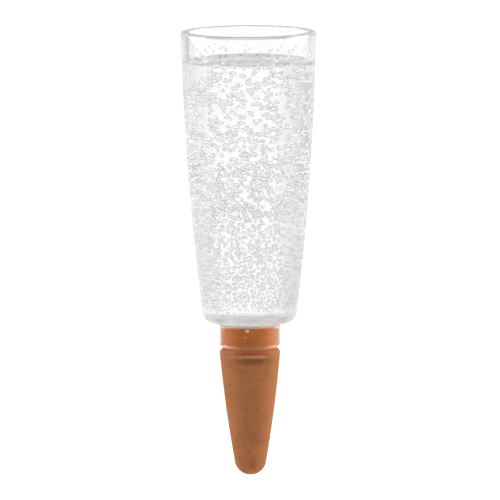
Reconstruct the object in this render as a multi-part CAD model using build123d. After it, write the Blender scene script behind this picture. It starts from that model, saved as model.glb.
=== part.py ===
from build123d import *
import os

# A self-watering spike: a clear cup whose neck plugs onto a hollow clay cone, with a soft seal between them.
# Sizes are in millimetres. The origin is on the axis, on the cone's shoulder, where the soil ends. +Z is up.

# Cup
cup_height = 157.6  # underside to rim
cup_top_d = 72.6  # straight band under the rim
cup_base_d = 49.6  # where the wall would meet the underside
cup_bow = 1.9  # how far the wall swells past a straight taper, halfway up
cup_wall = 3.8
rim_band = 8.0  # height of the straight band
lip_flare = 0.5  # how far the lip stands out past the band
lip_slope = 0.9  # height over which it flares
lip_edge = 1.5  # height of its upright edge
rim_round = 1.0
base_round = 6.5
floor_thickness = 4.1
floor_round = 4.0

# Neck under the cup, flush with the cone's shoulder
neck_d = 32.6
neck_wall = 2.2
neck_length = 12.8
neck_end_round = 1.85
throat_ledge = 2.6  # what the floor leaves over the end of the neck's bore

# Seal between the neck and the cone
seal_wall = 0.6
seal_flange = 0.8  # thickness of the flange that the neck stands on
flange_reach = 0.6  # how far the flange reaches out under the neck's end
sleeve_setback = 0.6  # the sleeve ends this far below the spigot's top
fit_gap = 0.1  # between round faces that slide or turn on each other

# Clay cone
cone_length = 68.8  # shoulder to tip
tip_end_d = 14.4  # where the side would meet the tip's plane
cone_bow = 0.8  # how far the side swells past a straight taper, halfway down
tip_round = 8.2
shoulder_height = 3.2  # upright edge under the shoulder
shoulder_round = 2.6
spigot_headroom = 0.9  # room for water between the spigot's top and the floor
spigot_wall = 4.3
spigot_round = 0.8
clay_wall = 4.5
tip_thickness = 6.5
cavity_round = 3.0

# Radii and heights that follow
cup_top_r = cup_top_d / 2
cup_base_r = cup_base_d / 2
neck_r = neck_d / 2
neck_bore_r = neck_r - neck_wall
throat_r = neck_bore_r - throat_ledge
sleeve_r = neck_bore_r - fit_gap
sleeve_bore_r = sleeve_r - seal_wall
flange_r = neck_bore_r + flange_reach
spigot_r = sleeve_bore_r - fit_gap
clay_bore_r = spigot_r - spigot_wall
tip_end_r = tip_end_d / 2

neck_end_z = seal_flange
underside_z = neck_end_z + neck_length
floor_z = underside_z + floor_thickness
rim_z = underside_z + cup_height
band_z = rim_z - rim_band
spigot_top_z = underside_z - spigot_headroom
sleeve_top_z = spigot_top_z - sleeve_setback
tip_z = -cone_length


def box(r_in, r_out, z_low, z_high):
    """A rectangle of the half section, between two radii and two heights."""
    return Pos((r_in + r_out) / 2, (z_low + z_high) / 2) * Rectangle(r_out - r_in, z_high - z_low)


def bowed(r_low, z_low, r_high, z_high, bow):
    """A side that swells out from a straight taper by the bow, halfway along."""
    middle = ((r_low + r_high) / 2 + bow, (z_low + z_high) / 2)
    return ThreePointArc((r_low, z_low), middle, (r_high, z_high))


def closed(start_r, start_z, *edges):
    """The half section between the axis and a chain of edges that starts at one point."""
    last = edges[-1] @ 1
    to_axis = Line(last, (0, last.Y))
    axis = Line((0, last.Y), (0, start_z))
    back = Line((0, start_z), (start_r, start_z))
    return make_face([*edges, to_axis, axis, back])


def rounded(section, r, z, radius):
    """The half section with its corner at that point rounded."""
    corner = section.vertices().sort_by_distance((r, z, 0))[0]
    return fillet(corner, radius)


def turned(section):
    """The half section, with radius along X and height along Y, turned about the axis."""
    return revolve(Plane.XZ * section, Axis.Z)


def reservoir():
    """Cup, floor and neck, moulded in one."""
    lip_r = cup_top_r + lip_flare
    inner_base_r = cup_base_r - cup_wall
    mouth_r = cup_top_r - cup_wall
    side = bowed(cup_base_r, underside_z, cup_top_r, band_z, cup_bow)
    outer = Polyline(
        (cup_top_r, band_z),
        (cup_top_r, rim_z - lip_edge - lip_slope),
        (lip_r, rim_z - lip_edge),
        (lip_r, rim_z),
    )
    cup = closed(cup_base_r, underside_z, side, outer)
    inner_side = bowed(inner_base_r, underside_z, mouth_r, band_z, cup_bow)
    inner_band = Line((mouth_r, band_z), (mouth_r, rim_z))
    inside = closed(inner_base_r, underside_z, inner_side, inner_band)
    inside -= box(0, cup_top_r, underside_z, floor_z)
    inside = rounded(inside, inner_base_r, floor_z, floor_round)

    neck = box(0, neck_r, neck_end_z, underside_z)
    section = cup + neck - inside
    section -= box(0, throat_r, neck_end_z, floor_z)
    section -= box(0, neck_bore_r, neck_end_z, underside_z)
    section = rounded(section, cup_base_r, underside_z, min(base_round, cup_base_r - neck_r))
    edge_round = min(rim_round, 0.4 * (lip_r - mouth_r), 0.9 * lip_edge)
    section = rounded(section, lip_r, rim_z, edge_round)
    section = rounded(section, mouth_r, rim_z, edge_round)
    section = rounded(section, neck_r, neck_end_z, min(neck_end_round, 0.85 * neck_wall))
    return turned(section)


def neck_seal():
    """Soft sleeve on the spigot, with the flange that the neck stands on."""
    flange = box(sleeve_bore_r, flange_r, 0, seal_flange)
    sleeve = box(sleeve_bore_r, sleeve_r, 0, sleeve_top_z)
    return turned(flange + sleeve)


def clay_cone():
    """Hollow cone with a rounded shoulder and a spigot, open at the spigot's top."""
    side = bowed(tip_end_r, tip_z, neck_r, -shoulder_height, cone_bow)
    upright = Line((neck_r, -shoulder_height), (neck_r, 0))
    body = closed(tip_end_r, tip_z, side, upright)
    body = rounded(body, tip_end_r, tip_z, min(tip_round, 1.15 * tip_end_r))
    land = neck_r - spigot_r
    body = rounded(body, neck_r, 0, min(shoulder_round, 0.9 * shoulder_height, 0.9 * land))
    spigot = box(0, spigot_r, 0, spigot_top_z)
    spigot = rounded(spigot, spigot_r, spigot_top_z, min(spigot_round, 0.4 * spigot_wall))

    cavity_end_r = tip_end_r - clay_wall
    cavity_z = tip_z + tip_thickness
    cavity_side = bowed(cavity_end_r, tip_z, neck_r - clay_wall, -shoulder_height, cone_bow)
    cavity = closed(cavity_end_r, tip_z, cavity_side) & box(0, clay_bore_r, cavity_z, -shoulder_height)
    cavity = rounded(cavity, cavity_end_r, cavity_z, min(cavity_round, cavity_end_r))
    bore = box(0, clay_bore_r, -shoulder_height, spigot_top_z)
    return turned(body + spigot - cavity - bore)


os.makedirs("parts", exist_ok=True)
export_step(reservoir(), "parts/reservoir.step")
export_step(neck_seal(), "parts/neck_seal.step")
export_step(clay_cone(), "parts/clay_cone.step")
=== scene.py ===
import math

import bmesh
import bpy
from bpy.props import FloatProperty, FloatVectorProperty, IntProperty, PointerProperty
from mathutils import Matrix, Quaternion, Vector, noise


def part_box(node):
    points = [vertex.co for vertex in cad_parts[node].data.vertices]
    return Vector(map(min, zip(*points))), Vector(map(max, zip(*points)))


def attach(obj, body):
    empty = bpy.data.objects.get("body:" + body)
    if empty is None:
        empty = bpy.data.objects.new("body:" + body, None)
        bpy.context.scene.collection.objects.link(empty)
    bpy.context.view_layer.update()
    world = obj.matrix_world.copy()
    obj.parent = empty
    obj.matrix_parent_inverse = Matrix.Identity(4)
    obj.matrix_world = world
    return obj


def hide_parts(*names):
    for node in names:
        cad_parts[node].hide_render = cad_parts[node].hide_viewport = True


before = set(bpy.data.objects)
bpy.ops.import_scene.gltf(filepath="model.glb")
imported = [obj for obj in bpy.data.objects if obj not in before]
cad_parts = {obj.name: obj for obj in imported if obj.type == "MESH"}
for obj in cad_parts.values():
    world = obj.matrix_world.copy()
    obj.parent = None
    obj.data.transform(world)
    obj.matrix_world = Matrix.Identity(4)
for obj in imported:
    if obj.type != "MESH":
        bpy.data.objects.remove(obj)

bl_info = {
    "name": "Self-watering spike",
    "version": (1, 0, 0),
    "blender": (4, 5, 0),
    "location": "3D View > Sidebar > Spike",
    "description": "Dresses a watering spike: bubble-wall cup, water, soft seal and clay cone",
    "category": "Object",
}

MM = 0.001
SQUARE_CM = 1e-4
ACRYLIC_IOR = 1.49
WATER_IOR = 1.333
SILICONE_IOR = 1.41
CLAY_IOR = 1.45
CLEARNESS = 0.97  # share of a lamp's light that a clear skin lets straight through
SHARP_EDGE = math.radians(35)  # faces that meet at more than this keep a sharp edge
SHEET_ROWS, SHEET_STEPS = 40, 96  # rows and steps round the axis of the sheet that bubbles are spread on
FEWEST_FACES = 1000  # a sheet with fewer faces of bubbles than this has gone wrong
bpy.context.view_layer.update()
CUP_LOW, CUP_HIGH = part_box("reservoir")
SEAL_LOW, SEAL_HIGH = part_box("neck_seal")
CONE_LOW, CONE_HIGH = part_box("clay_cone")


# Values that a user may change

def linear(hex_colour):
    """An sRGB hex colour as linear red, green and blue."""
    parts = [int(hex_colour[i:i + 2], 16) / 255 for i in (1, 3, 5)]
    return tuple(c / 12.92 if c <= 0.04045 else ((c + 0.055) / 1.055) ** 2.4 for c in parts)


def length(name, description, mm):
    """A length, given in millimetres and kept in metres."""
    return FloatProperty(name=name, description=description, default=mm * MM, unit="LENGTH", precision=5)


def colour(name, description, hex_colour):
    """A colour, given as sRGB hex and kept linear."""
    return FloatVectorProperty(
        name=name, description=description, default=linear(hex_colour), size=3, min=0, max=1, subtype="COLOR"
    )


def share(name, description, value):
    """A plain number from nought up."""
    return FloatProperty(name=name, description=description, default=value, min=0.0)


class CupSettings(bpy.types.PropertyGroup):
    """Clear cup with its floor and neck."""

    top_radius: length("Top radius", "Outside of the straight band under the rim", 36.3)
    base_radius: length("Base radius", "Where the wall would meet the underside", 24.8)
    bow: length("Bow", "How far the wall swells past a straight taper, halfway up", 1.9)
    wall: length("Wall", "Thickness of the cup's wall", 3.8)
    band: length("Rim band", "Height of the straight band under the rim", 8.0)
    lip_slope: length("Lip slope", "Height over which the lip flares out", 2.0)
    lip_edge: length("Lip edge", "Height of the lip's upright edge", 1.9)
    rim_round: length("Rim round", "Rounding of the rim's outer edge", 1.75)
    mouth_round: length("Mouth round", "Rounding of the rim's inner edge", 0.25)
    base_round: length("Base round", "Rounding under the wall", 6.5)
    floor: length("Floor", "Thickness of the floor", 4.1)
    floor_round: length("Floor round", "Rounding inside, between wall and floor", 4.0)
    neck_radius: length("Neck radius", "Outside of the neck", 16.3)
    bore_radius: length("Bore radius", "Inside of the neck", 14.1)
    throat_radius: length("Throat radius", "Hole through the floor", 11.5)
    underside: length("Underside", "Height of the cup's underside above the shoulder", 13.6)
    bore_end: length("Bore end", "Height where the neck's bore ends above the shoulder", 11.8)
    neck_round: length("Neck end round", "Rounding of the neck's lower edge", 1.85)
    neck_fillet: length("Neck fillet", "Hollow round where the neck meets the underside", 1.7)
    throat_round: length("Throat round", "Rounding of the throat's upper edge", 0.7)
    bore_round: length("Bore round", "Rounding of the bore's lower edge", 0.2)
    trim: length("Trim", "Depth of the trimmed land on the rim", 0.35)
    steps: IntProperty(name="Steps", description="Steps round the axis", default=192, min=24)
    tint: colour("Tint", "Colour of the clear plastic", "#FEFEFE")
    haze: share("Haze", "Roughness of the foot and the neck's end, which use has dulled", 0.25)


class BubbleSettings(bpy.types.PropertyGroup):
    """Air bubbles inside the cup's wall."""

    spacing: length("Spacing", "Least distance between the middles of two large bubbles", 2.0)
    fine_spacing: length("Fine spacing", "Least distance between the middles of two fine bubbles", 1.15)
    per_square_cm: share("Per square cm", "How many are tried before those too near to others go", 60.0)
    smallest: length("Smallest", "Smallest diameter where the bubbles are large", 1.9)
    largest: length("Largest", "Largest diameter where the bubbles are large", 2.9)
    skin: length("Skin", "Plastic left over a bubble", 0.2)
    # A bubble's milky ring is painted reflection: a pale diffuse film on the skin where it is seen aslant,
    # painted fainter at the foot
    painted_ring: share("Bloom", "How milky a bubble's skin looks where it is seen aslant", 0.68)
    low_painted_ring: share("Low bloom", "The same for the bubbles at the foot, which are clearer", 0.408)
    faint_ring_below: length("Clear below", "Height above the shoulder up to which the low bloom holds", 25.0)
    full_ring_above: length("Milky above", "Height above the shoulder from which the full bloom holds", 65.0)
    # Film is the colour of that painted ring
    film: colour("Film", "Colour of a bubble's skin where it is milky", "#FBFBFA")
    lowest: length("Lowest", "Height above the shoulder where the bubbles start", 20.5)
    coarsens: length("Coarsens", "Height above the shoulder where fine bubbles give way to large ones", 58.0)
    highest: length("Highest", "Height above the shoulder where they end", 168.5)
    neck_radius: length("Neck radius", "Distance of the neck's bubbles from the axis", 15.2)
    # The neck's bubbles have a stronger painted ring, tinted with painted glow from the clay round them
    neck_painted_ring: share("Neck bloom", "How milky the skin of the neck's bubbles looks", 0.8)
    painted_clay_glow: colour("Neck tint", "Colour that the clay gives to the skin of the neck's bubbles", "#F0B384")
    seed: IntProperty(name="Seed", description="Which random spread is used", default=7)


class WaterSettings(bpy.types.PropertyGroup):
    """Water that the cup is filled with."""

    level: length("Level", "Height of the water above the shoulder", 153.3)
    climb: length("Climb", "How far the water climbs the wall at its edge", 2.9)
    reach: length("Reach", "How far in from the wall the climb is felt", 4.2)
    overlap: length("Overlap", "How far the water's skin lies inside the plastic's", 0.06)
    tint: colour("Tint", "Colour of the water", "#FFFFFF")
    # Aslant is painted shade: it greys the cup's sides where the wall is seen aslant
    aslant: colour("Aslant", "Colour of the water where it is seen aslant through the wall", "#E8E8E8")
    surface: colour("Surface", "Colour of light that crosses the water's surface", "#FFFFFF")
    # Far surface and brim are painted shade: the water's surface is greyed towards the back, and more where
    # it climbs the wall there
    far: colour("Far surface", "The same towards the back", "#CBCDCD")
    brim_shade: colour("Brim", "The same at the back, where the water climbs the wall", "#A8ACAD")
    softness: share("Softness", "Roughness of the water's skin against the wall's moulded inside", 0.05)


class SealSettings(bpy.types.PropertyGroup):
    """Soft clear seal between neck and cone."""

    sleeve_radius: length("Sleeve radius", "Outside of the sleeve, pressed into the neck", 14.15)
    inner_radius: length("Inner radius", "Inside, where it grips the clay", 13.25)
    flange: length("Flange", "Thickness of the flange under the neck", 0.8)
    edge: length("Edge", "Rounding of its edges", 0.2)
    tint: colour("Tint", "Colour of the silicone", "#E6B58C")
    glow: colour("Glow", "Colour of light that crosses the sleeve", "#FEF8F0")
    film: share("Film", "IOR of the film of air and water between sleeve and neck", 1.17)
    setback: length("Setback", "How far the sleeve ends below the spigot's top", 0.6)
    steps: IntProperty(name="Steps", description="Steps round the axis", default=160, min=24)


class ClaySettings(bpy.types.PropertyGroup):
    """Hollow clay cone."""

    tip_radius: length("Tip radius", "Where the side would meet the tip's plane", 7.2)
    bow: length("Bow", "How far the side swells past a straight taper, halfway down", 0.8)
    tip_round: length("Tip round", "Rounding of the tip", 8.2)
    shoulder: length("Shoulder", "Height of the upright edge under the shoulder", 3.2)
    shoulder_round: length("Shoulder round", "Rounding of the shoulder", 2.6)
    spigot_radius: length("Spigot radius", "Outside of the spigot in the neck", 13.3)
    spigot_round: length("Spigot round", "Rounding of the spigot's top edge", 0.8)
    chipped: length("Chipped", "How far wear has lowered the spigot's top", 1.2)
    bore_radius: length("Bore radius", "Hole down from the spigot", 9.0)
    wall: length("Wall", "Thickness of the cone's wall", 4.5)
    tip_thickness: length("Tip thickness", "Clay between the hollow and the tip", 6.5)
    hollow_round: length("Hollow round", "Rounding at the end of the hollow", 2.7)
    unevenness: length("Unevenness", "How far the side dips below a true cone", 0.16)
    steps: IntProperty(name="Steps", description="Steps round the axis", default=240, min=24)
    dry: colour("Dry clay", "Fired clay where it is dry", "#AD6E44")
    bruise: colour("Stained clay", "Darker stain under the shoulder", "#8E5733")
    tide: colour("Tide mark", "Pale line that drying water leaves", "#C88158")
    edge: colour("Wet edge", "Dark line where the damp ends", "#A0552A")
    damp: colour("Damp clay", "Clay that water has soaked", "#B15C2E")
    # Painted light: the clay under the seal is painted lighter than the damp clay, making up for the light
    # that the seal and the neck take away
    brightened_under_seal: colour("Gripped clay", "Clay that the seal lies on, before the seal darkens it", "#C6702C")
    damp_height: length("Damp edge", "Height of the damp edge above the shoulder", -2.4)


class StageSettings(bpy.types.PropertyGroup):
    """Floor, lights and camera."""

    floor_height: length("Floor height", "Height of the floor", -130.0)
    floor_size: length("Floor size", "Side of the floor", 16000.0)
    aim_height: length("Aim height", "Height that the camera looks at", 52.8)
    aim_side: length("Aim side", "How far the camera stands to the right", 0.3)
    view_width: length("View width", "Width of the picture at the object", 269.4)
    distance: length("Distance", "From the camera to the object", 11500.0)
    elevation: FloatProperty(
        name="Elevation", description="Camera above the horizon", default=math.radians(5.9), subtype="ANGLE"
    )
    roll: FloatProperty(
        name="Roll", description="Turn of the picture", default=math.radians(0.29), subtype="ANGLE"
    )
    fill: share("Fill", "Soft light from all round", 0.53)
    left_power: share("Left softbox", "Power in watts", 8.2)
    right_power: share("Right softbox", "Power in watts", 11.0)
    softbox_width: length("Softbox width", "Width of each softbox", 700.0)
    softbox_height: length("Softbox height", "Height of each softbox", 900.0)
    backdrop: share("Backdrop", "How bright glass sees the white behind the object", 1.12)
    front: share("Front", "How bright glass sees the room in front of the object", 0.5)
    below: share("Below", "How bright glass sees what lies steeply below, beside the rest", 0.9)
    ceiling: share("Ceiling", "How bright glass sees what lies steeply above, beside the rest", 0.95)
    left_side: share("Left side", "How bright glass sees the room's left, beside what lies behind", 0.58)
    right_side: share("Right side", "How bright glass sees the room's right, beside what lies behind", 0.84)
    mirrored: share("Mirrored", "How bright a mirror image in glass is, beside what it mirrors", 0.88)


# Sections, as chains of points with a radius and a height

def circle_through(low, high, bow):
    """Middle and radius of the circle through two points that swells out by the bow between them."""
    (ax, ay), (cx, cy) = low, high
    bx, by = (ax + cx) / 2 + bow, (ay + cy) / 2
    a2, b2, c2 = ax * ax + ay * ay, bx * bx + by * by, cx * cx + cy * cy
    d = 2 * (ax * (by - cy) + bx * (cy - ay) + cx * (ay - by))
    x = (a2 * (by - cy) + b2 * (cy - ay) + c2 * (ay - by)) / d
    y = (a2 * (cx - bx) + b2 * (ax - cx) + c2 * (bx - ax)) / d
    return x, y, math.hypot(ax - x, ay - y)


def radius_at(circle, z):
    """Radius of a bowed side at a height."""
    x, y, rho = circle
    return x + math.sqrt(rho * rho - (z - y) ** 2)


def arc(x, y, radius, start, end, count):
    """Points on an arc, both ends among them; the angles are in radians."""
    turns = [start + (end - start) * i / count for i in range(count + 1)]
    return [(x + radius * math.cos(t), y + radius * math.sin(t)) for t in turns]


def corner(r, z, radius, start, count=6):
    """Quarter round about a point, from an angle in quarter turns; a negative count goes clockwise."""
    turn = math.copysign(math.pi / 2, count)
    return arc(r, z, radius, start * math.pi / 2, start * math.pi / 2 + turn, abs(count))


def foot(circle, z, radius):
    """Middle of the round between a bowed side and the level under it, and the angle where they meet."""
    x, y, rho = circle
    height = z + radius
    r = x + math.sqrt((rho - radius) ** 2 - (height - y) ** 2)
    return r, height, math.atan2(height - y, r - x)


def run(start, end, count):
    """Points on a straight run, without its ends."""
    shares = [i / count for i in range(1, count)]
    return [(start[0] + (end[0] - start[0]) * s, start[1] + (end[1] - start[1]) * s) for s in shares]


def wall_circles(cup):
    """Circles of the cup's outer and inner side."""
    low, high = cup.underside, CUP_HIGH.z - cup.band
    outer = circle_through((cup.base_radius, low), (cup.top_radius, high), cup.bow)
    inner = circle_through((cup.base_radius - cup.wall, low), (cup.top_radius - cup.wall, high), cup.bow)
    return outer, inner


def inner_wall(cup, inner, top, shift=0.0):
    """The cup's inside from a height down to its floor; the shift moves it into the plastic."""
    floor_z = cup.underside + cup.floor
    x, y, rho = inner
    r, z, meet = foot(inner, floor_z, cup.floor_round)
    start = math.atan2(top - y, radius_at(inner, top) - x)
    side = arc(x, y, rho + shift, start, meet, 60)
    return side + arc(r, z, cup.floor_round + shift, meet, -math.pi / 2, 12)[1:]


# Meshes

def lathe(name, chain, steps, closed, shape=None):
    """A mesh turned about the axis from an open or closed chain of points; shape moves each point."""
    bm = bmesh.new()
    rows = []
    for r, z in chain:
        if r < 1e-7:
            rows.append([bm.verts.new((0, 0, z))])
            continue
        row = []
        for i in range(steps):
            turn = 2 * math.pi * i / steps
            point = Vector((r * math.cos(turn), r * math.sin(turn), z))
            row.append(bm.verts.new(shape(point) if shape else point))
        rows.append(row)
    below = rows[1:] + rows[:1] if closed else rows[1:]
    for a, b in zip(rows, below):
        for i in range(steps):
            j = (i + 1) % steps
            ring = [a[i % len(a)], a[j % len(a)], b[j % len(b)], b[i % len(b)]]
            bm.faces.new(list(dict.fromkeys(ring)))
    bmesh.ops.recalc_face_normals(bm, faces=bm.faces)
    mesh = bpy.data.meshes.new(name)
    bm.to_mesh(mesh)
    bm.free()
    mesh.shade_smooth()
    mesh.set_sharp_from_angle(angle=SHARP_EDGE)
    return mesh


def piece(name, mesh, stuff, other=None, is_other=None):
    """A piece at the origin with its material, and with another on the faces that is_other picks."""
    mesh.materials.clear()
    mesh.materials.append(stuff)
    if other:
        mesh.materials.append(other)
        for face in mesh.polygons:
            face.material_index = int(is_other(math.hypot(*face.center[:2]), face.center.z))
    made = bpy.data.objects.new(name, mesh)
    bpy.context.scene.collection.objects.link(made)
    return made


# Materials

def add(tree, kind, links=None, stops=None, **settings):
    """A node with its settings, its inputs' values or links, and the stops of its ramp or curve."""
    made = tree.nodes.new(kind)
    for key, value in settings.items():
        setattr(made, key, value)
    for key, value in (links or {}).items():
        if isinstance(value, bpy.types.NodeSocket):
            tree.links.new(value, made.inputs[key])
        else:
            made.inputs[key].default_value = value
    if stops and hasattr(made, "color_ramp"):
        ramp = made.color_ramp.elements
        while len(ramp) < len(stops):
            ramp.new(1.0)
        for element, (place, value) in zip(ramp, stops):
            element.position = place
            element.color = (*value, 1.0)
    elif stops:
        points = made.mapping.curves[0].points
        while len(points) < len(stops):
            points.new(0.5, 0.5)
        for point, (place, value) in zip(points, stops):
            point.location = (place, value)
            point.handle_type = "VECTOR"
        made.mapping.update()
    return made


def material(name):
    """An empty node material with its output."""
    made = bpy.data.materials.new(name)
    made.use_nodes = True
    made.node_tree.nodes.clear()
    return made, made.node_tree, made.node_tree.nodes.new("ShaderNodeOutputMaterial")


def per(mm):
    """Scale of a pattern whose features are that many millimetres apart."""
    return 1.0 / (mm * MM)


def see_through(tree, out, skin):
    """Gives a clear stuff its skin, and lets lamps and soft light straight through to what lies behind it."""
    ray = add(tree, "ShaderNodeLightPath").outputs
    plain = add(tree, "ShaderNodeMath", {
        0: ray["Is Shadow Ray"], 1: ray["Is Diffuse Ray"],
    }, operation="MAXIMUM").outputs[0]
    through = add(tree, "ShaderNodeBsdfTransparent", {"Color": (CLEARNESS, CLEARNESS, CLEARNESS, 1.0)})
    mixed = add(tree, "ShaderNodeMixShader", {0: plain, 1: skin, 2: through.outputs["BSDF"]})
    tree.links.new(mixed.outputs["Shader"], out.inputs["Surface"])


def clear_acrylic(cup):
    """Moulded clear acrylic: glassy, with faint flow waves and smudges, and hazy where use has worn it."""
    made, tree, out = material("clear_acrylic")
    place = add(tree, "ShaderNodeTexCoord").outputs["Object"]
    waves = add(tree, "ShaderNodeTexNoise", {"Vector": place, "Scale": per(9.0), "Detail": 1.0})
    bump = add(tree, "ShaderNodeBump", {
        "Height": waves.outputs["Fac"], "Strength": 0.05, "Distance": 0.4 * MM,
    })
    smudges = add(tree, "ShaderNodeTexNoise", {"Vector": place, "Scale": per(16.0), "Detail": 3.0})
    smear = add(tree, "ShaderNodeMapRange", {
        "Value": smudges.outputs["Fac"], 1: 0.55, 2: 0.8, 3: 0.0, 4: 0.03,
    }).outputs["Result"]

    # The foot is worn from just under its underside to just over its floor, and the neck at its end
    height = add(tree, "ShaderNodeSeparateXYZ", {"Vector": place}).outputs["Z"]
    under, over = cup.underside, cup.underside + cup.floor
    zones = []
    for start, end in (
        (under - 2.2 * MM, under - 1.4 * MM), (over + 2.5 * MM, over + 0.5 * MM), (2.9 * MM, 2.4 * MM),
    ):
        zones.append(add(tree, "ShaderNodeMapRange", {"Value": height, 1: start, 2: end}).outputs["Result"])
    foot_worn = add(tree, "ShaderNodeMath", {0: zones[0], 1: zones[1]}, operation="MULTIPLY").outputs[0]
    worn = add(tree, "ShaderNodeMath", {0: foot_worn, 1: zones[2]}, operation="MAXIMUM").outputs[0]
    dull = add(tree, "ShaderNodeMapRange", {"Value": worn, 3: smear, 4: cup.haze})
    skin = add(tree, "ShaderNodeBsdfPrincipled", {
        "Base Color": (*cup.tint, 1.0), "IOR": ACRYLIC_IOR, "Transmission Weight": 1.0,
        "Roughness": dull.outputs["Result"], "Normal": bump.outputs["Normal"],
    })
    see_through(tree, out, skin.outputs["BSDF"])
    return made


def trimmed_acrylic():
    """Acrylic where flash was trimmed off: matt and frosted, grey on the rim, and warmer near the clay as
    painted glow from it.
    """
    made, tree, out = material("trimmed_acrylic")
    place = add(tree, "ShaderNodeTexCoord").outputs["Object"]
    height = add(tree, "ShaderNodeSeparateXYZ", {"Vector": place}).outputs["Z"]
    far_up = add(tree, "ShaderNodeMapRange", {"Value": height, 1: 20 * MM, 2: 40 * MM}).outputs["Result"]
    shades = []
    # Near the clay the frosted plastic is tinted warm, a painted glow of the clay's light; higher up it is
    # grey
    for glow_from_clay, on_rim in (("#B6ACA4", "#AFB0B0"), ("#C6BDB5", "#C1C1C1")):
        shades.append(add(tree, "ShaderNodeMix", {
            0: far_up, 6: (*linear(glow_from_clay), 1.0), 7: (*linear(on_rim), 1.0),
        }, data_type="RGBA").outputs[2])

    # The marks that a trimming knife leaves are finer: they are drawn coarse enough to show
    scuffs = add(tree, "ShaderNodeTexNoise", {"Vector": place, "Scale": per(1.2), "Detail": 2.0})
    scraped = add(tree, "ShaderNodeMapRange", {"Value": scuffs.outputs["Fac"], 1: 0.3, 2: 0.7})
    tone = add(tree, "ShaderNodeMix", {
        0: scraped.outputs["Result"], 6: shades[0], 7: shades[1],
    }, data_type="RGBA").outputs[2]
    skin = add(tree, "ShaderNodeBsdfPrincipled", {
        "Base Color": tone, "IOR": ACRYLIC_IOR, "Transmission Weight": 0.4, "Roughness": 0.6,
        "Specular IOR Level": 0.2,
    })
    see_through(tree, out, skin.outputs["BSDF"])
    return made


def trapped_air(name, air, low_painted_ring, painted_ring, tint):
    """Air in clear acrylic: light bends the other way at its skin; its milky ring is a painted reflection."""
    made, tree, out = material(name)
    place = add(tree, "ShaderNodeTexCoord").outputs["Object"]
    height = add(tree, "ShaderNodeSeparateXYZ", {"Vector": place}).outputs["Z"]
    # Painted reflection: a pale diffuse film takes over the skin where it is seen aslant, fainter at the foot
    # than higher up
    most = add(tree, "ShaderNodeMapRange", {
        "Value": height, 1: air.faint_ring_below, 2: air.full_ring_above, 3: low_painted_ring, 4: painted_ring,
    }).outputs["Result"]
    slant = add(tree, "ShaderNodeLayerWeight", {"Blend": 0.5}).outputs["Facing"]
    milky = add(tree, "ShaderNodeMapRange", {
        "Value": slant, 1: 0.2, 2: 0.36, 3: 0.0, 4: most,
    }).outputs["Result"]
    clear = add(tree, "ShaderNodeBsdfGlass", {
        "Color": (1.0, 1.0, 1.0, 1.0), "Roughness": 0.0, "IOR": 1.0 / ACRYLIC_IOR,
    })
    film = add(tree, "ShaderNodeBsdfDiffuse", {"Color": (*tint, 1.0)})
    skin = add(tree, "ShaderNodeMixShader", {0: milky, 1: clear.outputs["BSDF"], 2: film.outputs["BSDF"]})
    see_through(tree, out, skin.outputs["Shader"])
    return made


def still_water(water):
    """Still tap water: clear, its surface barely uneven; painted shade greys it at the back, most where it
    climbs the wall.
    """
    made, tree, out = material("still_water")
    place = add(tree, "ShaderNodeTexCoord").outputs["Object"]
    part = add(tree, "ShaderNodeSeparateXYZ", {"Vector": place}).outputs
    climbed = add(tree, "ShaderNodeMapRange", {
        "Value": part["Z"], 1: water.level + 0.15 * water.climb, 2: water.level + 0.7 * water.climb,
    }).outputs["Result"]
    # Painted shade: the surface is greyed towards the back, and more where it also climbs the wall
    behind = add(tree, "ShaderNodeMapRange", {"Value": part["Y"], 1: -8 * MM, 2: 12 * MM}).outputs["Result"]
    climbed_back_shade = add(tree, "ShaderNodeMath", {0: climbed, 1: behind}, operation="MULTIPLY").outputs[0]
    tone = (*water.surface, 1.0)
    for where, shade in ((behind, water.far), (climbed_back_shade, water.brim_shade)):
        tone = add(tree, "ShaderNodeMix", {0: where, 6: tone, 7: (*shade, 1.0)}, data_type="RGBA").outputs[2]
    ripple = add(tree, "ShaderNodeTexNoise", {"Vector": place, "Scale": per(14.0), "Detail": 1.0})
    bump = add(tree, "ShaderNodeBump", {
        "Height": ripple.outputs["Fac"], "Strength": 0.06, "Distance": 0.5 * MM,
    })
    body = add(tree, "ShaderNodeBsdfPrincipled", {
        "Base Color": tone, "IOR": WATER_IOR, "Transmission Weight": 1.0, "Roughness": 0.0,
        "Normal": bump.outputs["Normal"],
    })
    see_through(tree, out, body.outputs["BSDF"])
    return made


def water_on_acrylic(water):
    """Water against the wall's moulded inside: softens what lies beyond; painted shade greys it where it is
    seen aslant.
    """
    made, tree, out = material("water_on_acrylic")
    # Painted shade: the water is greyed where the wall is seen aslant, from just over the floor up
    slant = add(tree, "ShaderNodeLayerWeight", {"Blend": 0.5}).outputs["Facing"]
    side = add(tree, "ShaderNodeMapRange", {"Value": slant, 1: 0.12, 2: 0.34}).outputs["Result"]
    place = add(tree, "ShaderNodeTexCoord").outputs["Object"]
    height = add(tree, "ShaderNodeSeparateXYZ", {"Vector": place}).outputs["Z"]
    over_floor = add(tree, "ShaderNodeMapRange", {"Value": height, 1: 20 * MM, 2: 27 * MM})
    aslant_shade_mask = add(tree, "ShaderNodeMath", {0: side, 1: over_floor.outputs["Result"]}, operation="MULTIPLY")
    tone = add(tree, "ShaderNodeMix", {
        0: aslant_shade_mask.outputs[0], 6: (*water.tint, 1.0), 7: (*water.aslant, 1.0),
    }, data_type="RGBA").outputs[2]
    body = add(tree, "ShaderNodeBsdfPrincipled", {
        "Base Color": tone, "IOR": WATER_IOR, "Transmission Weight": 1.0, "Roughness": water.softness,
    })
    see_through(tree, out, body.outputs["BSDF"])
    return made


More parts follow.
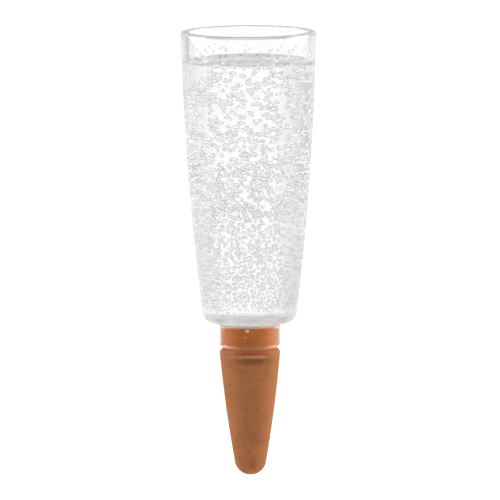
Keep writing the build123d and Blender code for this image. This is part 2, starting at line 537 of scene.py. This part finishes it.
def clear_silicone(tint):
    """Moulded silicone rubber: milky clear, with a soft shine that varies where it is pressed."""
    made, tree, out = material("clear_silicone")
    place = add(tree, "ShaderNodeTexCoord").outputs["Object"]
    pressed = add(tree, "ShaderNodeTexNoise", {"Vector": place, "Scale": per(3.0), "Detail": 2.0})
    dull = add(tree, "ShaderNodeMapRange", {
        "Value": pressed.outputs["Fac"], 1: 0.3, 2: 0.7, 3: 0.08, 4: 0.3,
    })
    bump = add(tree, "ShaderNodeBump", {
        "Height": pressed.outputs["Fac"], "Strength": 0.1, "Distance": 0.1 * MM,
    })
    body = add(tree, "ShaderNodeBsdfPrincipled", {
        "Base Color": (*tint, 1.0), "IOR": SILICONE_IOR, "Transmission Weight": 0.55,
        "Roughness": dull.outputs["Result"], "Normal": bump.outputs["Normal"],
    })
    see_through(tree, out, body.outputs["BSDF"])
    return made


def silicone_on_acrylic(seal):
    """Silicone pressed into acrylic with a thin film between: light bends there and nothing is mirrored."""
    made, tree, out = material("silicone_on_acrylic")
    skin = add(tree, "ShaderNodeBsdfRefraction", {
        "Color": (*seal.glow, 1.0), "Roughness": 0.0, "IOR": seal.film,
    })
    see_through(tree, out, skin.outputs["BSDF"])
    return made


def terracotta(clay):
    """Unglazed fired clay: matte, mottled and gritty; darker, redder and shinier where it is damp."""
    made, tree, out = material("terracotta")
    place = add(tree, "ShaderNodeTexCoord").outputs["Object"]

    # The clay's own grit is finer: it is drawn coarse enough to show
    blotch = add(tree, "ShaderNodeTexNoise", {"Vector": place, "Scale": per(13.0), "Detail": 3.0})
    mottle = add(tree, "ShaderNodeTexNoise", {"Vector": place, "Scale": per(2.6), "Detail": 3.0})
    grit = add(tree, "ShaderNodeTexNoise", {"Vector": place, "Scale": per(0.7), "Detail": 2.0})
    # The pits are painted shade: darkened where the bump sinks them
    shaded_pits = add(tree, "ShaderNodeTexVoronoi", {"Vector": place, "Scale": per(5.0), "Randomness": 1.0})

    # The damp creeps up and down a little round the shoulder; the bands' heights are in mm
    height = add(tree, "ShaderNodeSeparateXYZ", {"Vector": place}).outputs["Z"]
    creep = add(tree, "ShaderNodeMapRange", {
        "Value": blotch.outputs["Fac"], 1: 0.25, 2: 0.75, 3: -0.35 * MM, 4: 0.35 * MM,
    })
    level = add(tree, "ShaderNodeMath", {0: height, 1: creep.outputs["Result"]}, operation="ADD")
    low, high = -14.0 * MM, 2.0 * MM
    zone = add(tree, "ShaderNodeMapRange", {"Value": level.outputs["Value"], 1: low, 2: high})
    # The clay under the seal is painted lighter, making up for the light that the seal and neck take away
    brightened_under_seal = ((0.6, clay.brightened_under_seal), (2.0, clay.brightened_under_seal))
    plain = ((-14.0, clay.dry), (-2.6, clay.dry), (-0.6, clay.damp), (0.0, clay.damp), *brightened_under_seal)
    marked = (
        (-14.0, clay.dry), (-9.0, clay.dry), (-6.6, clay.bruise), (-5.0, clay.bruise),
        (-4.1, clay.tide), (-3.1, clay.tide), (-2.7, clay.edge), (-2.4, clay.edge),
        (-2.0, clay.damp), (0.0, clay.damp), *brightened_under_seal,
    )
    bands = []
    for steps in (plain, marked):
        stops = [((z * MM - low) / (high - low), tuple(shade)) for z, shade in steps]
        bands.append(add(tree, "ShaderNodeValToRGB", {"Fac": zone.outputs["Result"]}, stops).outputs["Color"])

    # The tide mark and the stain under it lie on one side of the shoulder
    from_mark = add(tree, "ShaderNodeVectorMath", {
        0: place, 1: (2.0 * MM, -15.8 * MM, -4.0 * MM),
    }, operation="DISTANCE").outputs["Value"]
    here = add(tree, "ShaderNodeMapRange", {
        "Value": from_mark, 1: 4.0 * MM, 2: 11.0 * MM, 3: 1.0, 4: 0.1,
    }).outputs["Result"]
    zones = add(tree, "ShaderNodeMix", {0: here, 6: bands[0], 7: bands[1]}, data_type="RGBA")
    wet = add(tree, "ShaderNodeMapRange", {
        "Value": level.outputs["Value"], 1: clay.damp_height - 0.2 * MM, 2: clay.damp_height + 0.2 * MM,
    })

    # Mottling and a worn tip darken or lighten the clay; the pits are sunk by the bump and darkened too, as
    # painted shade in them
    from_wear = add(tree, "ShaderNodeVectorMath", {
        0: place, 1: (0.6 * MM, -7.0 * MM, -63.0 * MM),
    }, operation="DISTANCE").outputs["Value"]
    gains = []
    for source, near, far, darkest, palest in (
        (blotch.outputs["Fac"], 0.3, 0.7, 0.9, 1.08),
        (mottle.outputs["Fac"], 0.3, 0.7, 0.92, 1.08),
        (grit.outputs["Fac"], 0.3, 0.7, 0.95, 1.05),
        (from_wear, 0.8 * MM, 3.2 * MM, 0.8, 1.0),
        (shaded_pits.outputs["Distance"], 0.06, 0.14, 0.75, 1.0),
    ):
        gains.append(add(tree, "ShaderNodeMapRange", {
            "Value": source, 1: near, 2: far, 3: darkest, 4: palest,
        }).outputs["Result"])
    value = gains[0]
    for gain in gains[1:]:
        value = add(tree, "ShaderNodeMath", {0: value, 1: gain}, operation="MULTIPLY").outputs[0]
    shade = add(tree, "ShaderNodeHueSaturation", {"Color": zones.outputs[2], "Value": value})

    dull = add(tree, "ShaderNodeMapRange", {"Value": wet.outputs["Result"], 3: 0.92, 4: 0.62})
    relief = add(tree, "ShaderNodeMath", {0: grit.outputs["Fac"], 1: gains[-1]}, operation="ADD")
    bump = add(tree, "ShaderNodeBump", {"Height": relief.outputs[0], "Strength": 0.5, "Distance": 0.12 * MM})
    body = add(tree, "ShaderNodeBsdfPrincipled", {
        "Base Color": shade.outputs["Color"], "Roughness": dull.outputs["Result"], "IOR": CLAY_IOR,
        "Specular IOR Level": 0.25, "Normal": bump.outputs["Normal"],
    })
    tree.links.new(body.outputs["BSDF"], out.inputs["Surface"])
    return made


# Pieces

class SPIKE_OT_reservoir(bpy.types.Operator):
    """Make the clear cup with its floor, throat and neck"""

    bl_idname = "spike.reservoir"
    bl_label = "Cup"

    def execute(self, context):
        cup = context.scene.spike_cup
        outer, inner = wall_circles(cup)
        rim, lip = CUP_HIGH.z, CUP_HIGH.x
        band, mouth = rim - cup.band, cup.top_radius - cup.wall
        floor_z, end = cup.underside + cup.floor, CUP_LOW.z
        x, y, rho = outer
        r, z, meet = foot(outer, cup.underside, cup.base_round)
        top = math.atan2(band - y, cup.top_radius - x)
        hollow, soft, edge = cup.neck_fillet, cup.throat_round, cup.bore_round

        chain = corner(cup.neck_radius + hollow, cup.underside - hollow, hollow, 2, -10)
        chain += arc(r, z, cup.base_round, -math.pi / 2, meet, 16)
        chain += arc(x, y, rho, meet, top, 60)[1:]
        flare, starts = lip - cup.top_radius, rim - cup.lip_edge - cup.lip_slope
        chain += run((cup.top_radius, band), (cup.top_radius, starts), 5)
        for t in (i / 8 for i in range(9)):
            chain.append((cup.top_radius + flare * t * t * (3 - 2 * t), starts + cup.lip_slope * t))
        chain += corner(lip - cup.rim_round, rim - cup.rim_round, cup.rim_round, 0, 10)
        chain += corner(mouth + cup.mouth_round, rim - cup.mouth_round, cup.mouth_round, 1, 8)
        chain += run((mouth, rim - cup.mouth_round), (mouth, band), 5)
        chain += inner_wall(cup, inner, band)
        chain += corner(cup.throat_radius + soft, floor_z - soft, soft, 1, 4)
        chain += [(cup.throat_radius, cup.bore_end), (cup.bore_radius, cup.bore_end)]
        chain += run((cup.bore_radius, cup.bore_end), (cup.bore_radius, end), 30)
        chain += corner(cup.bore_radius + edge, end + edge, edge, 2, 4)
        chain += corner(cup.neck_radius - cup.neck_round, end + cup.neck_round, cup.neck_round, 3, 10)
        chain += run((cup.neck_radius, end + cup.neck_round), (cup.neck_radius, cup.underside - hollow), 30)
        mesh = lathe("reservoir_clear", chain, cup.steps, closed=True)

        def trimmed(r, z):
            """Whether a face lies on the rim's land or in the hollow round over the neck."""
            over_neck = cup.underside - hollow < z < cup.underside - 0.05 * MM
            in_hollow = over_neck and cup.neck_radius < r < cup.neck_radius + hollow
            return z > rim - cup.trim or in_hollow

        made = piece("reservoir_clear", mesh, clear_acrylic(cup), trimmed_acrylic(), trimmed)
        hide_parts("reservoir")
        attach(made, "cup")
        return {"FINISHED"}


def bubble_tree(skin):
    """Geometry nodes that spread bubbles over a sheet in the middle of the wall."""
    tree = bpy.data.node_groups.new("wall_bubbles", "GeometryNodeTree")
    face = tree.interface
    face.new_socket("Geometry", in_out="INPUT", socket_type="NodeSocketGeometry")
    for name in ("Spacing", "Density", "Smallest", "Largest", "Room", "Lowest", "Highest"):
        face.new_socket(name, in_out="INPUT", socket_type="NodeSocketFloat")
    face.new_socket("Seed", in_out="INPUT", socket_type="NodeSocketInt")
    face.new_socket("Geometry", in_out="OUTPUT", socket_type="NodeSocketGeometry")
    given = add(tree, "NodeGroupInput").outputs

    # Fine bubbles low down, large ones over them, and only specks under the rim
    place = add(tree, "GeometryNodeInputPosition").outputs["Position"]
    height = add(tree, "ShaderNodeSeparateXYZ", {"Vector": place}).outputs["Z"]
    up = add(tree, "ShaderNodeMapRange", {
        "Value": height, 1: given["Lowest"], 2: given["Highest"],
    }).outputs["Result"]
    crowd = add(tree, "ShaderNodeFloatCurve", {"Value": up}, (
        (0.0, 0.7), (0.03, 0.95), (0.12, 0.95), (0.25, 0.75), (0.26, 0.9), (0.5, 0.72), (0.7, 0.62),
        (0.88, 0.55), (0.93, 0.3), (0.96, 0.16), (1.0, 0.13),
    ))
    growth = add(tree, "ShaderNodeFloatCurve", {"Value": up}, (
        (0.0, 0.52), (0.16, 0.58), (0.24, 0.7), (0.31, 0.95), (0.4, 1.0), (0.88, 0.97), (0.93, 0.8),
        (0.96, 0.5), (1.0, 0.42),
    ))
    spread = add(tree, "GeometryNodeDistributePointsOnFaces", {
        "Mesh": given["Geometry"], "Distance Min": given["Spacing"], "Density Max": given["Density"],
        "Density Factor": crowd.outputs["Value"], "Seed": given["Seed"],
    }, distribute_method="POISSON")

    # Middling sizes are commonest, and a bubble keeps its skin on both sides of the wall
    draws = []
    for extra in range(3):
        seed = add(tree, "ShaderNodeMath", {0: given["Seed"], 1: float(extra)}, operation="ADD").outputs[0]
        draws.append(add(tree, "FunctionNodeRandomValue", {"Seed": seed}, data_type="FLOAT").outputs[1])
    even = add(tree, "ShaderNodeMath", {0: draws[0], 1: draws[1]}, operation="ADD").outputs[0]
    across = add(tree, "ShaderNodeMapRange", {
        "Value": even, 1: 0.0, 2: 2.0, 3: given["Smallest"], 4: given["Largest"],
    }).outputs["Result"]
    grown = add(tree, "ShaderNodeMath", {0: across, 1: growth.outputs["Value"]}, operation="MULTIPLY")
    radius = add(tree, "ShaderNodeMath", {0: grown.outputs[0], 1: 0.5}, operation="MULTIPLY").outputs[0]
    slack = add(tree, "ShaderNodeMath", {0: given["Room"], 1: radius}, operation="SUBTRACT").outputs[0]
    free = add(tree, "ShaderNodeMath", {0: slack, 1: 0.0}, operation="MAXIMUM").outputs[0]
    side = add(tree, "ShaderNodeMapRange", {"Value": draws[2], 3: -1.0, 4: 1.0}).outputs["Result"]
    depth = add(tree, "ShaderNodeMath", {0: free, 1: side}, operation="MULTIPLY").outputs[0]
    along = add(tree, "ShaderNodeVectorMath", {
        0: spread.outputs["Normal"], "Scale": depth,
    }, operation="SCALE")
    moved = add(tree, "GeometryNodeSetPosition", {
        "Geometry": spread.outputs["Points"], "Offset": along.outputs["Vector"],
    })

    ball = add(tree, "GeometryNodeMeshIcoSphere", {"Radius": 1.0, "Subdivisions": 2})
    turned = add(tree, "FunctionNodeRandomValue", {
        0: (0.0, 0.0, 0.0), 1: (math.tau, math.tau, math.tau), "Seed": given["Seed"],
    }, data_type="FLOAT_VECTOR").outputs[0]
    set_in = add(tree, "GeometryNodeInstanceOnPoints", {
        "Points": moved.outputs["Geometry"], "Instance": ball.outputs["Mesh"],
        "Rotation": turned, "Scale": radius,
    })
    real = add(tree, "GeometryNodeRealizeInstances", {"Geometry": set_in.outputs["Instances"]})
    smooth = add(tree, "GeometryNodeSetShadeSmooth", {"Geometry": real.outputs["Geometry"]})
    skinned = add(tree, "GeometryNodeSetMaterial", {"Geometry": smooth.outputs["Geometry"], "Material": skin})
    add(tree, "NodeGroupOutput", {"Geometry": skinned.outputs["Geometry"]})
    return tree


# The few bubbles in the neck's wall: how far to the side and up they lie, and how large they are, in mm
NECK_BUBBLES = ((-1.5, 10.2, 2.0), (-2.3, 6.9, 1.0), (-2.9, 5.0, 0.7))


def lone_bubbles(name, places, radius):
    """A mesh of bubbles set one by one at that distance from the axis."""
    bm = bmesh.new()
    for side, height, across in places:
        depth = math.sqrt(radius ** 2 - (side * MM) ** 2)
        made = bmesh.ops.create_icosphere(bm, subdivisions=3, radius=across / 2 * MM)["verts"]
        bmesh.ops.translate(bm, verts=made, vec=(side * MM, -depth, height * MM))
    mesh = bpy.data.meshes.new(name)
    bm.to_mesh(mesh)
    bm.free()
    mesh.shade_smooth()
    return mesh


class SPIKE_OT_bubbles(bpy.types.Operator):
    """Spread air bubbles inside the cup's wall"""

    bl_idname = "spike.bubbles"
    bl_label = "Wall bubbles"

    def execute(self, context):
        cup, air = context.scene.spike_cup, context.scene.spike_air
        outer, inner = wall_circles(cup)
        band = CUP_HIGH.z - cup.band
        skin = trapped_air("trapped_air", air, air.low_painted_ring, air.painted_ring, air.film)
        tree = bubble_tree(skin)
        bubbles = []
        for name, low, high, spacing in (
            ("fine_bubbles", air.lowest, air.coarsens, air.fine_spacing),
            ("large_bubbles", air.coarsens, air.highest, air.spacing),
        ):
            sheet = []
            for z in (low + (high - low) * i / SHEET_ROWS for i in range(SHEET_ROWS + 1)):
                level = min(z, band)
                sheet.append(((radius_at(outer, level) + radius_at(inner, level)) / 2, z))
            made = piece(name, lathe(name, sheet, SHEET_STEPS, closed=False), skin)
            spreader = made.modifiers.new("Bubbles", "NODES")
            spreader.node_group = tree
            wanted = {
                "Spacing": spacing, "Density": air.per_square_cm / SQUARE_CM, "Smallest": air.smallest,
                "Largest": air.largest, "Room": cup.wall / 2 - air.skin, "Lowest": air.lowest,
                "Highest": air.highest, "Seed": air.seed,
            }
            for socket in tree.interface.items_tree:
                if socket.name in wanted:
                    spreader[socket.identifier] = wanted[socket.name]
            seen = made.evaluated_get(context.evaluated_depsgraph_get())
            spread = bpy.data.meshes.new_from_object(seen)
            made.modifiers.remove(spreader)
            spread.materials.clear()
            spread.materials.append(skin)
            made.data = spread
            if len(spread.polygons) < FEWEST_FACES:
                raise RuntimeError("The wall has hardly any bubbles")
            bubbles.append(made)
        lone = lone_bubbles("neck_bubbles", NECK_BUBBLES, air.neck_radius)
        # The neck's bubbles get their painted ring tinted with painted glow from the clay
        clay_glow_skin = trapped_air("air_by_clay", air, air.neck_painted_ring, air.neck_painted_ring, air.painted_clay_glow)
        bubbles.append(piece("neck_bubbles", lone, clay_glow_skin))
        for made in bubbles:
            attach(made, "cup")
        return {"FINISHED"}


class SPIKE_OT_water(bpy.types.Operator):
    """Fill the cup with water, down to the end of its throat"""

    bl_idname = "spike.water"
    bl_label = "Water"

    def execute(self, context):
        cup, water = context.scene.spike_cup, context.scene.spike_water
        inner = wall_circles(cup)[1]
        top = water.level + water.climb
        edge = radius_at(inner, top)
        rings = 40
        chain = [(0.0, water.level)]
        for i in range(1, rings):
            r = edge * math.sqrt(i / rings)
            chain.append((r, water.level + water.climb * math.exp((r - edge) / water.reach)))
        chain += inner_wall(cup, inner, top, water.overlap)
        throat = cup.throat_radius + water.overlap
        chain += [(throat, cup.underside + cup.floor - water.overlap), (throat, cup.bore_end)]
        chain += [(0.6 * throat, cup.bore_end), (0.0, cup.bore_end)]
        mesh = lathe("water", chain, cup.steps, closed=False)

        def on_plastic(r, z):
            """Whether a face lies against the cup, not on the water's surface."""
            return z < water.level - 0.01 * MM or r > edge

        made = piece("water", mesh, still_water(water), water_on_acrylic(water), on_plastic)
        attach(made, "cup")
        return {"FINISHED"}


class SPIKE_OT_seal(bpy.types.Operator):
    """Make the soft seal that sits on the clay spigot"""

    bl_idname = "spike.seal"
    bl_label = "Seal"

    def execute(self, context):
        seal = context.scene.spike_seal
        low, reach, soft = SEAL_LOW.z, SEAL_HIGH.x, seal.edge
        top = CONE_HIGH.z - context.scene.spike_clay.chipped - seal.setback
        chain = [(seal.inner_radius, low)]
        chain += corner(reach - soft, low + soft, soft, 3, 4)
        chain += corner(reach - soft, low + seal.flange - soft, soft, 0, 4)
        chain += corner(seal.sleeve_radius + soft, low + seal.flange + soft, soft, 3, -4)
        chain += run((seal.sleeve_radius, low + seal.flange + soft), (seal.sleeve_radius, top - soft), 6)
        chain += corner(seal.sleeve_radius - soft, top - soft, soft, 0, 4)
        chain += [(seal.inner_radius, top)]
        mesh = lathe("neck_seal_soft", chain, seal.steps, closed=True)

        def on_sleeve(r, z):
            """Whether a face lies on the sleeve, over the flange."""
            return z > low + seal.flange

        made = piece("neck_seal_soft", mesh, clear_silicone(seal.tint), silicone_on_acrylic(seal), on_sleeve)
        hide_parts("neck_seal")
        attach(made, "seal")
        return {"FINISHED"}


class SPIKE_OT_cone(bpy.types.Operator):
    """Make the hollow clay cone with its shoulder and spigot"""

    bl_idname = "spike.cone"
    bl_label = "Clay cone"

    def execute(self, context):
        clay = context.scene.spike_clay
        tip, top, widest = CONE_LOW.z, CONE_HIGH.z - clay.chipped, CONE_HIGH.x
        side = circle_through((clay.tip_radius, tip), (widest, -clay.shoulder), clay.bow)
        x, y, rho = side
        r, z, meet = foot(side, tip, clay.tip_round)
        ends = math.atan2(-clay.shoulder - y, widest - x)
        chain = [(0.0, tip)] + arc(r, z, clay.tip_round, -math.pi / 2, meet, 26)
        chain += arc(x, y, rho, meet, ends, 130)[1:]
        chain += corner(widest - clay.shoulder_round, -clay.shoulder_round, clay.shoulder_round, 0, 12)
        chain += [(clay.spigot_radius, 0.0)]
        rounded = top - clay.spigot_round
        chain += run((clay.spigot_radius, 0.0), (clay.spigot_radius, rounded), 14)
        chain += corner(clay.spigot_radius - clay.spigot_round, rounded, clay.spigot_round, 0, 6)
        chain += [(clay.bore_radius, top)]

        # The hollow follows the side, a wall's thickness in, from where it meets the bore
        hollow_low, hollow_high = clay.tip_radius - clay.wall, widest - clay.wall
        hollow = circle_through((hollow_low, tip), (hollow_high, -clay.shoulder), clay.bow)
        hx, hy, hrho = hollow
        rise = math.sqrt(hrho ** 2 - (clay.bore_radius - hx) ** 2)
        joins = hy - rise if tip < hy - rise < 0 else hy + rise
        end = tip + clay.tip_thickness
        hr, hz, hmeet = foot(hollow, end, clay.hollow_round)
        chain += arc(hx, hy, hrho, math.atan2(joins - hy, clay.bore_radius - hx), hmeet, 30)
        chain += arc(hr, hz, clay.hollow_round, hmeet, -math.pi / 2, 8)[1:] + [(0.0, end)]

        def dip(point):
            """Sinks the outside of the clay a little, as turning, firing and handling leave it."""
            flat = Vector((point.x, point.y, 0))
            if point.z > -0.4 * MM or flat.length < 0.5 * radius_at(side, max(point.z, tip + clay.tip_round)):
                return point
            lumps = noise.noise(point / (14 * MM))
            grit = noise.noise(point / (1.6 * MM))
            rings = noise.noise(Vector((0, 0, point.z / (3.5 * MM))))
            low = 0.45 + 0.3 * lumps + 0.15 * grit + 0.1 * rings
            return point - flat.normalized() * clay.unevenness * min(max(low, 0.0), 1.0)

        mesh = lathe("clay_cone_turned", chain, clay.steps, closed=False, shape=dip)
        made = piece("clay_cone_turned", mesh, terracotta(clay))
        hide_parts("clay_cone")
        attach(made, "cone")
        return {"FINISHED"}


# Stage

def seen_through_glass(tree, way, stage):
    """How bright glass sees a direction: white behind the object, dimmer elsewhere and in mirror images."""
    part = add(tree, "ShaderNodeSeparateXYZ", {"Vector": way}).outputs
    level = add(tree, "ShaderNodeMapRange", {
        "Value": part["Y"], 1: -0.4, 2: 0.3, 3: stage.front, 4: stage.backdrop,
    }, interpolation_type="SMOOTHSTEP").outputs["Result"]
    down = add(tree, "ShaderNodeMapRange", {
        "Value": part["Z"], 1: -0.7, 2: -0.45, 3: stage.below, 4: 1.0,
    }, interpolation_type="SMOOTHSTEP").outputs["Result"]
    up = add(tree, "ShaderNodeMapRange", {
        "Value": part["Z"], 1: 0.3, 2: 0.6, 3: 1.0, 4: stage.ceiling,
    }, interpolation_type="SMOOTHSTEP").outputs["Result"]
    sides = []
    for reach, tone in ((-0.65, stage.left_side), (0.65, stage.right_side)):
        sides.append(add(tree, "ShaderNodeMapRange", {
            "Value": part["X"], 1: 0.25 * reach, 2: reach, 3: 1.0, 4: tone,
        }).outputs["Result"])
    times = add(tree, "ShaderNodeLightPath").outputs["Glossy Depth"]
    image = add(tree, "ShaderNodeMath", {0: stage.mirrored, 1: times}, operation="POWER").outputs[0]
    for other in (down, up, *sides, image):
        level = add(tree, "ShaderNodeMath", {0: level, 1: other}, operation="MULTIPLY").outputs[0]
    return level


def studio_world(stage):
    """White to the camera, a studio room through glass, dim to mirrors in front, and else a plain fill."""
    world = bpy.data.worlds.new("studio")
    world.use_nodes = True
    tree = world.node_tree
    tree.nodes.clear()
    place = add(tree, "ShaderNodeTexCoord").outputs["Generated"]
    room = seen_through_glass(tree, place, stage)
    way = add(tree, "ShaderNodeSeparateXYZ", {"Vector": place}).outputs
    dark = add(tree, "ShaderNodeMapRange", {
        "Value": way["Y"], 1: -0.5, 2: 0.5, 3: 0.1, 4: 1.0,
    }).outputs["Result"]
    ray = add(tree, "ShaderNodeLightPath").outputs
    light = (stage.fill,) * 3 + (1.0,)
    for kind, shade in (
        ("Is Glossy Ray", dark), ("Is Transmission Ray", room), ("Is Camera Ray", (1.0, 1.0, 1.0, 1.0)),
    ):
        light = add(tree, "ShaderNodeMix", {0: ray[kind], 6: light, 7: shade}, data_type="RGBA").outputs[2]
    back = add(tree, "ShaderNodeBackground", {"Color": light, "Strength": 1.0})
    out = add(tree, "ShaderNodeOutputWorld", {"Surface": back.outputs["Background"]})
    out.is_active_output = True
    return world


def pale_floor(stage):
    """Matte white board: white to the camera, like the room through glass, dim to mirrors in front."""
    made, tree, out = material("white_board")
    place = add(tree, "ShaderNodeTexCoord").outputs["Object"]
    grain = add(tree, "ShaderNodeTexNoise", {"Vector": place, "Scale": per(4.0), "Detail": 2.0})
    tone = add(tree, "ShaderNodeMapRange", {"Value": grain.outputs["Fac"], 3: 0.8, 4: 0.84})
    board = add(tree, "ShaderNodeBsdfDiffuse", {"Color": tone.outputs["Result"]})
    way = add(tree, "ShaderNodeVectorMath", {0: place}, operation="NORMALIZE").outputs["Vector"]
    depth = add(tree, "ShaderNodeSeparateXYZ", {"Vector": place}).outputs["Y"]
    light = add(tree, "ShaderNodeMapRange", {
        "Value": depth, 1: -0.8, 2: 0.8, 3: 0.05, 4: 0.9,
    }).outputs["Result"]
    ray = add(tree, "ShaderNodeLightPath").outputs
    room = seen_through_glass(tree, way, stage)
    for kind, level in (("Is Transmission Ray", room), ("Is Camera Ray", 0.9)):
        light = add(tree, "ShaderNodeMix", {0: ray[kind], 2: light, 3: level}, data_type="FLOAT").outputs[0]
    lamp = add(tree, "ShaderNodeEmission", {"Color": (1.0, 1.0, 1.0, 1.0), "Strength": light})
    grey = add(tree, "ShaderNodeMath", {0: ray["Is Camera Ray"], 1: 0.3}, operation="MULTIPLY")
    faint = add(tree, "ShaderNodeBsdfDiffuse", {"Color": grey.outputs[0]})
    lit = add(tree, "ShaderNodeAddShader", {0: lamp.outputs["Emission"], 1: faint.outputs["BSDF"]})
    seen = ray["Is Camera Ray"]
    for kind in ("Is Transmission Ray", "Is Glossy Ray"):
        seen = add(tree, "ShaderNodeMath", {0: seen, 1: ray[kind]}, operation="MAXIMUM").outputs[0]
    mixed = add(tree, "ShaderNodeMixShader", {0: seen, 1: board.outputs["BSDF"], 2: lit.outputs["Shader"]})
    tree.links.new(mixed.outputs["Shader"], out.inputs["Surface"])
    return made


class SPIKE_OT_stage(bpy.types.Operator):
    """Set up the floor, the soft light and the camera"""

    bl_idname = "spike.stage"
    bl_label = "Stage"

    def execute(self, context):
        scene, stage = context.scene, context.scene.spike_stage
        scene.view_settings.view_transform = "Standard"
        scene.cycles.max_bounces = 24
        scene.cycles.glossy_bounces = 10
        scene.cycles.transmission_bounces = 20
        scene.world = studio_world(stage)

        half, z = stage.floor_size / 2, stage.floor_height
        corners = [(-half, -half, z), (half, -half, z), (half, half, z), (-half, half, z)]
        mesh = bpy.data.meshes.new("floor")
        mesh.from_pydata(corners, [], [(0, 1, 2, 3)])
        piece("floor", mesh, pale_floor(stage))

        middle = Vector((0, 0, 40 * MM))
        for name, power, spot in (
            ("left_softbox", stage.left_power, Vector((-0.9, 0.24, 0.55))),
            ("right_softbox", stage.right_power, Vector((0.9, 0.24, 0.55))),
        ):
            lamp = bpy.data.lights.new(name, "AREA")
            lamp.shape = "RECTANGLE"
            lamp.size = stage.softbox_width
            lamp.size_y = stage.softbox_height
            lamp.energy = power
            box = bpy.data.objects.new(name, lamp)
            box.location = spot
            box.rotation_euler = (middle - spot).to_track_quat("-Z", "Y").to_euler()
            scene.collection.objects.link(box)

        back = Vector((0, -math.cos(stage.elevation), math.sin(stage.elevation)))
        lens = bpy.data.cameras.new("camera")
        lens.sensor_width = 36.0
        lens.lens = lens.sensor_width * stage.distance / stage.view_width
        lens.clip_start, lens.clip_end = 0.1, 100.0
        camera = bpy.data.objects.new("camera", lens)
        camera.rotation_mode = "QUATERNION"
        camera.location = Vector((stage.aim_side, 0, stage.aim_height)) + back * stage.distance
        camera.rotation_quaternion = (-back).to_track_quat("-Z", "Y") @ Quaternion((0, 0, 1), -stage.roll)
        scene.collection.objects.link(camera)
        scene.camera = camera
        return {"FINISHED"}


class SPIKE_PT_panel(bpy.types.Panel):
    """Lists what the add-on makes"""

    bl_idname = "SPIKE_PT_panel"
    bl_label = "Watering spike"
    bl_space_type = "VIEW_3D"
    bl_region_type = "UI"
    bl_category = "Spike"

    def draw(self, context):
        for operator in OPERATORS:
            self.layout.operator(operator.bl_idname)
        for name in SETTINGS:
            group = getattr(context.scene, name)
            column = self.layout.column(heading=group.bl_rna.description)
            for field in group.bl_rna.properties:
                if field.identifier not in ("rna_type", "name"):
                    column.prop(group, field.identifier)


SETTINGS = {
    "spike_cup": CupSettings,
    "spike_air": BubbleSettings,
    "spike_water": WaterSettings,
    "spike_seal": SealSettings,
    "spike_clay": ClaySettings,
    "spike_stage": StageSettings,
}
OPERATORS = (
    SPIKE_OT_reservoir,
    SPIKE_OT_bubbles,
    SPIKE_OT_water,
    SPIKE_OT_seal,
    SPIKE_OT_cone,
    SPIKE_OT_stage,
)
CLASSES = (*SETTINGS.values(), *OPERATORS, SPIKE_PT_panel)


def register():
    for made in CLASSES:
        bpy.utils.register_class(made)
    for name, group in SETTINGS.items():
        setattr(bpy.types.Scene, name, PointerProperty(type=group))


def unregister():
    for name in SETTINGS:
        delattr(bpy.types.Scene, name)
    for made in reversed(CLASSES):
        bpy.utils.unregister_class(made)


def main():
    register()
    bpy.ops.spike.reservoir()
    bpy.ops.spike.bubbles()
    bpy.ops.spike.water()
    bpy.ops.spike.seal()
    bpy.ops.spike.cone()
    bpy.ops.spike.stage()


if __name__ == "__main__":
    main()
